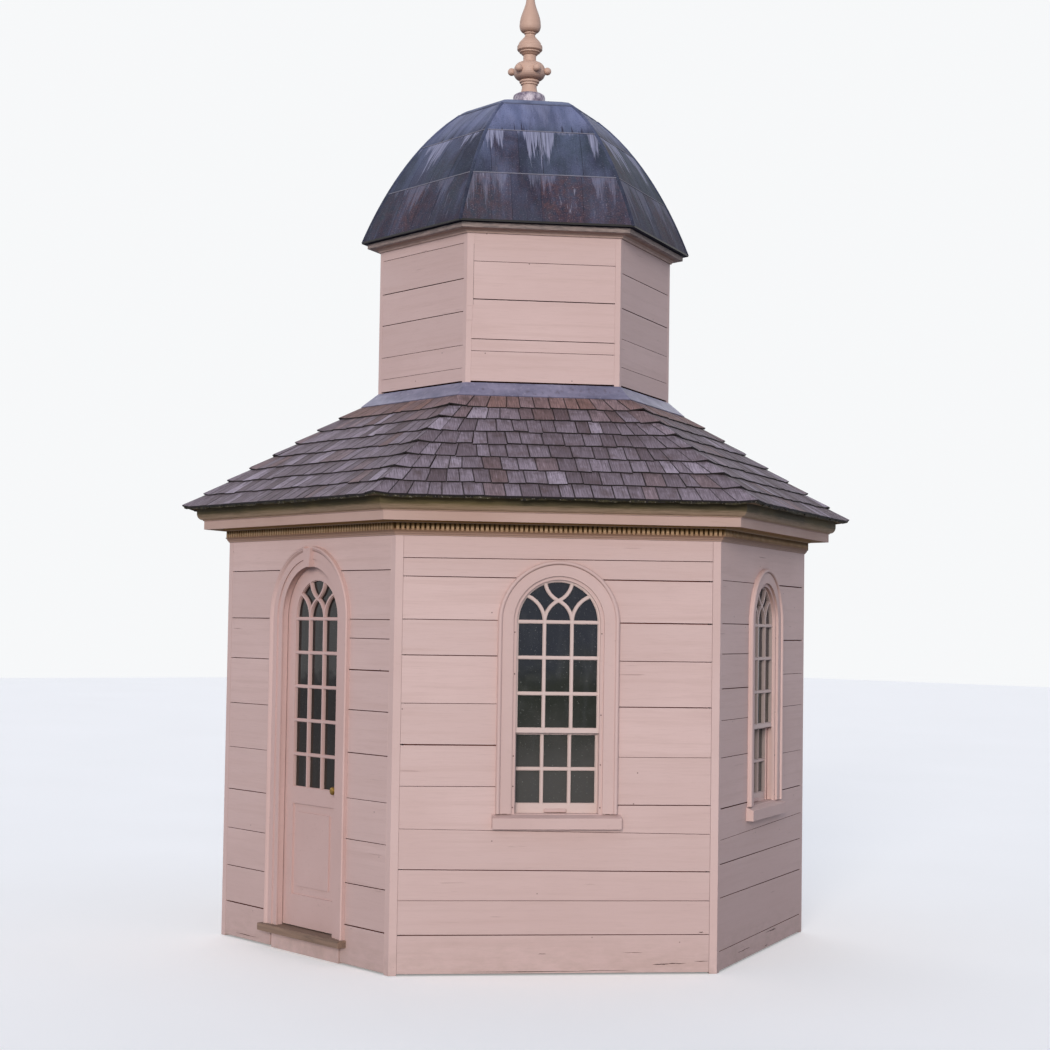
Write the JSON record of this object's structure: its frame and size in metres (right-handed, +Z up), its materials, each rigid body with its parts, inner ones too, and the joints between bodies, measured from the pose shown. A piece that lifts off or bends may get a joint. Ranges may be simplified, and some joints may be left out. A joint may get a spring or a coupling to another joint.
{
  "type": "garden house",
  "caption": "Six-sided timber garden house with arched sash windows, a hinged glazed door, dentil cornice, shingled roof, drum, metal-clad dome and turned finial.",
  "frame": {"origin": "centre of the six-sided plan, on the ground", "axes": "+Z up; the doorway faces -Y; two corners of the plan lie on +X and -X"},
  "size_m": [4.672, 4.0462, 6.5755],
  "materials": {
    "painted_boards": "matt oil paint on flush boards",
    "painted_trim": "matt oil paint on mouldings",
    "bare_timber": "worn boards",
    "rough_timber": "sawn",
    "shingle": "weathered shingles",
    "lead": "weathered sheet lead",
    "dome_metal": "dark weathered sheet copper",
    "grey_metal": "weathered sheet",
    "glass": "clear, dark inside",
    "brass": "dull",
    "iron": "black"
  },
  "bodies": {
    "house": {"floor_deck": "bare_timber", "floor_joists": "rough_timber", "corner_posts": "painted_boards", "window_wall_1": "painted_boards", "window_wall_2": "painted_boards", "window_wall_3": "painted_boards", "window_wall_4": "painted_boards", "window_wall_5": "painted_boards", "door_pier_left": "painted_boards", "door_pier_right": "painted_boards", "door_head": "painted_boards", "door_base_wall": "painted_boards", "window_frames": "painted_trim", "window_casings": "painted_trim", "window_sills": "painted_trim", "upper_sash_1": "painted_trim", "upper_sash_2": "painted_trim", "upper_sash_3": "painted_trim", "upper_sash_4": "painted_trim", "upper_sash_5": "painted_trim", "lower_sash_1": "painted_trim", "lower_sash_2": "painted_trim", "lower_sash_3": "painted_trim", "lower_sash_4": "painted_trim", "lower_sash_5": "painted_trim", "window_glass": "glass", "threshold": "bare_timber", "door_frame": "painted_trim", "door_architrave": "painted_trim", "keystone": "painted_trim", "hinge_plates_frame": "iron", "bed_mould": "painted_trim", "dentil_band": "painted_trim", "corona": "painted_trim", "rafters": "rough_timber", "roof_deck": "rough_timber", "shingle_courses": "shingle", "drum_curb": "rough_timber", "roof_flashing": "lead", "drum_posts": "painted_boards", "drum_walls": "painted_boards", "drum_cornice": "painted_trim", "dome_shell": "dome_metal", "dome_cap": "dome_metal", "finial_collar": "grey_metal", "finial": "painted_trim"},
    "door": {"door_leaf": "painted_trim", "door_glass": "glass", "door_knob": "brass", "hinge_plates_leaf": "iron"}
  },
  "joints": [
    {"name": "door_swing", "type": "hinge", "parent": "house", "child": "door", "pos_m": [-0.30875, -1.64005, 0], "axis": [0, 0, 1], "range_deg": [0, 110]}
  ]
}
